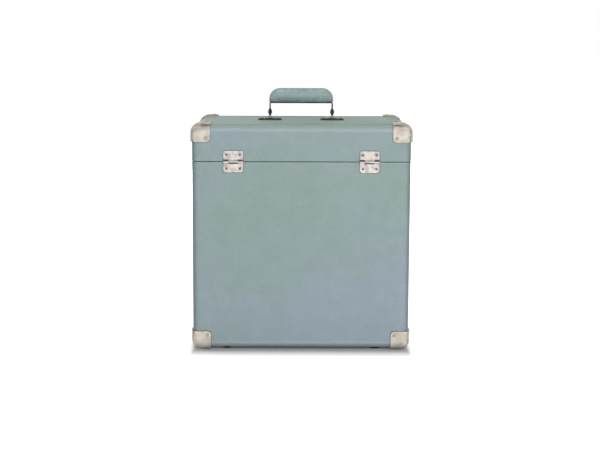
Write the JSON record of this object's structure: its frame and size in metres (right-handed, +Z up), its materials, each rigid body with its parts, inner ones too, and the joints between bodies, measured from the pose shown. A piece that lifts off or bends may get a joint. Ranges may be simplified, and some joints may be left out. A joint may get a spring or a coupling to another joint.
{
  "type": "record carrying case",
  "caption": "Upright covered wooden carrying case for long-playing records, with a back-hinged lid, draw latches, a folding handle and metal corner guards.",
  "frame": {"origin": "on the floor under the middle of the case, at the feet's undersides", "axes": "+Z up out of the lid, +Y towards the latches with the hinges on the -Y side, +X to the right as seen from the hinge side"},
  "size_m": [0.3644, 0.2433, 0.4293],
  "materials": {
    "covering": "satin",
    "board": "matte",
    "lining": "matte",
    "guard": "satin",
    "fittings": "satin",
    "dark_steel": "satin",
    "rubber": "matte"
  },
  "bodies": {
    "case_body": {"body_back_board": "board", "body_front_board": "board", "body_left_board": "board", "body_right_board": "board", "body_bottom_board": "board", "body_covering": "covering", "base_covering": "covering", "body_liner_floor": "lining", "body_liner_back": "lining", "body_liner_front": "lining", "body_liner_left": "lining", "body_liner_right": "lining", "foot_back_left": "rubber", "foot_back_right": "rubber", "foot_front_left": "rubber", "foot_front_right": "rubber", "foot_screws": "fittings", "guard_lower_back_left": "guard", "guard_lower_back_right": "guard", "guard_lower_front_left": "guard", "guard_lower_front_right": "guard", "lower_guard_rivets": "fittings", "hinge_lower_screws": "fittings", "latch_base_rivets": "fittings", "latch_pivot_pins": "fittings", "hinge_lower_leaf_left": "fittings", "hinge_lower_leaf_right": "fittings", "hinge_pin_left": "fittings", "hinge_pin_right": "fittings", "latch_base_left": "fittings", "latch_base_right": "fittings"},
    "lid": {"lid_back_board": "board", "lid_front_board": "board", "lid_left_board": "board", "lid_right_board": "board", "lid_top_board": "board", "lid_covering": "covering", "lid_lining": "lining", "guard_upper_back_left": "guard", "guard_upper_back_right": "guard", "guard_upper_front_left": "guard", "guard_upper_front_right": "guard", "upper_guard_rivets": "fittings", "hinge_upper_screws": "fittings", "latch_hanger_rivets": "fittings", "handle_bracket_screws": "fittings", "handle_pivot_rivets": "fittings", "hinge_upper_leaf_left": "fittings", "hinge_upper_leaf_right": "fittings", "latch_hanger_left": "fittings", "latch_hanger_right": "fittings", "handle_bracket_left": "fittings", "handle_bracket_right": "fittings"},
    "handle": {"handle_strap": "dark_steel", "handle_grip": "covering"},
    "left_lever": {"latch_lever_left": "fittings"},
    "left_loop": {"latch_loop_left": "fittings"},
    "right_lever": {"latch_lever_right": "fittings"},
    "right_loop": {"latch_loop_right": "fittings"}
  },
  "joints": [
    {"name": "lid_hinge", "type": "hinge", "parent": "case_body", "child": "lid", "pos_m": [0, -0.1173, 0.3146], "axis": [1, 0, 0], "range_deg": [0, 180]},
    {"name": "handle_swing", "type": "hinge", "parent": "lid", "child": "handle", "pos_m": [0, 0, 0.3887], "axis": [1, 0, 0], "range_deg": [-90, 90]},
    {"name": "latch_left_lever", "type": "hinge", "parent": "case_body", "child": "left_lever", "pos_m": [-0.1, 0.12, 0.3006], "axis": [1, 0, 0], "range_deg": [0, 110]},
    {"name": "latch_left_loop", "type": "hinge", "parent": "lid", "child": "left_loop", "pos_m": [-0.1, 0.1184, 0.3236], "axis": [1, 0, 0], "range_deg": [0, 150]},
    {"name": "latch_right_lever", "type": "hinge", "parent": "case_body", "child": "right_lever", "pos_m": [0.1, 0.12, 0.3006], "axis": [1, 0, 0], "range_deg": [0, 110]},
    {"name": "latch_right_loop", "type": "hinge", "parent": "lid", "child": "right_loop", "pos_m": [0.1, 0.1184, 0.3236], "axis": [1, 0, 0], "range_deg": [0, 150]}
  ]
}
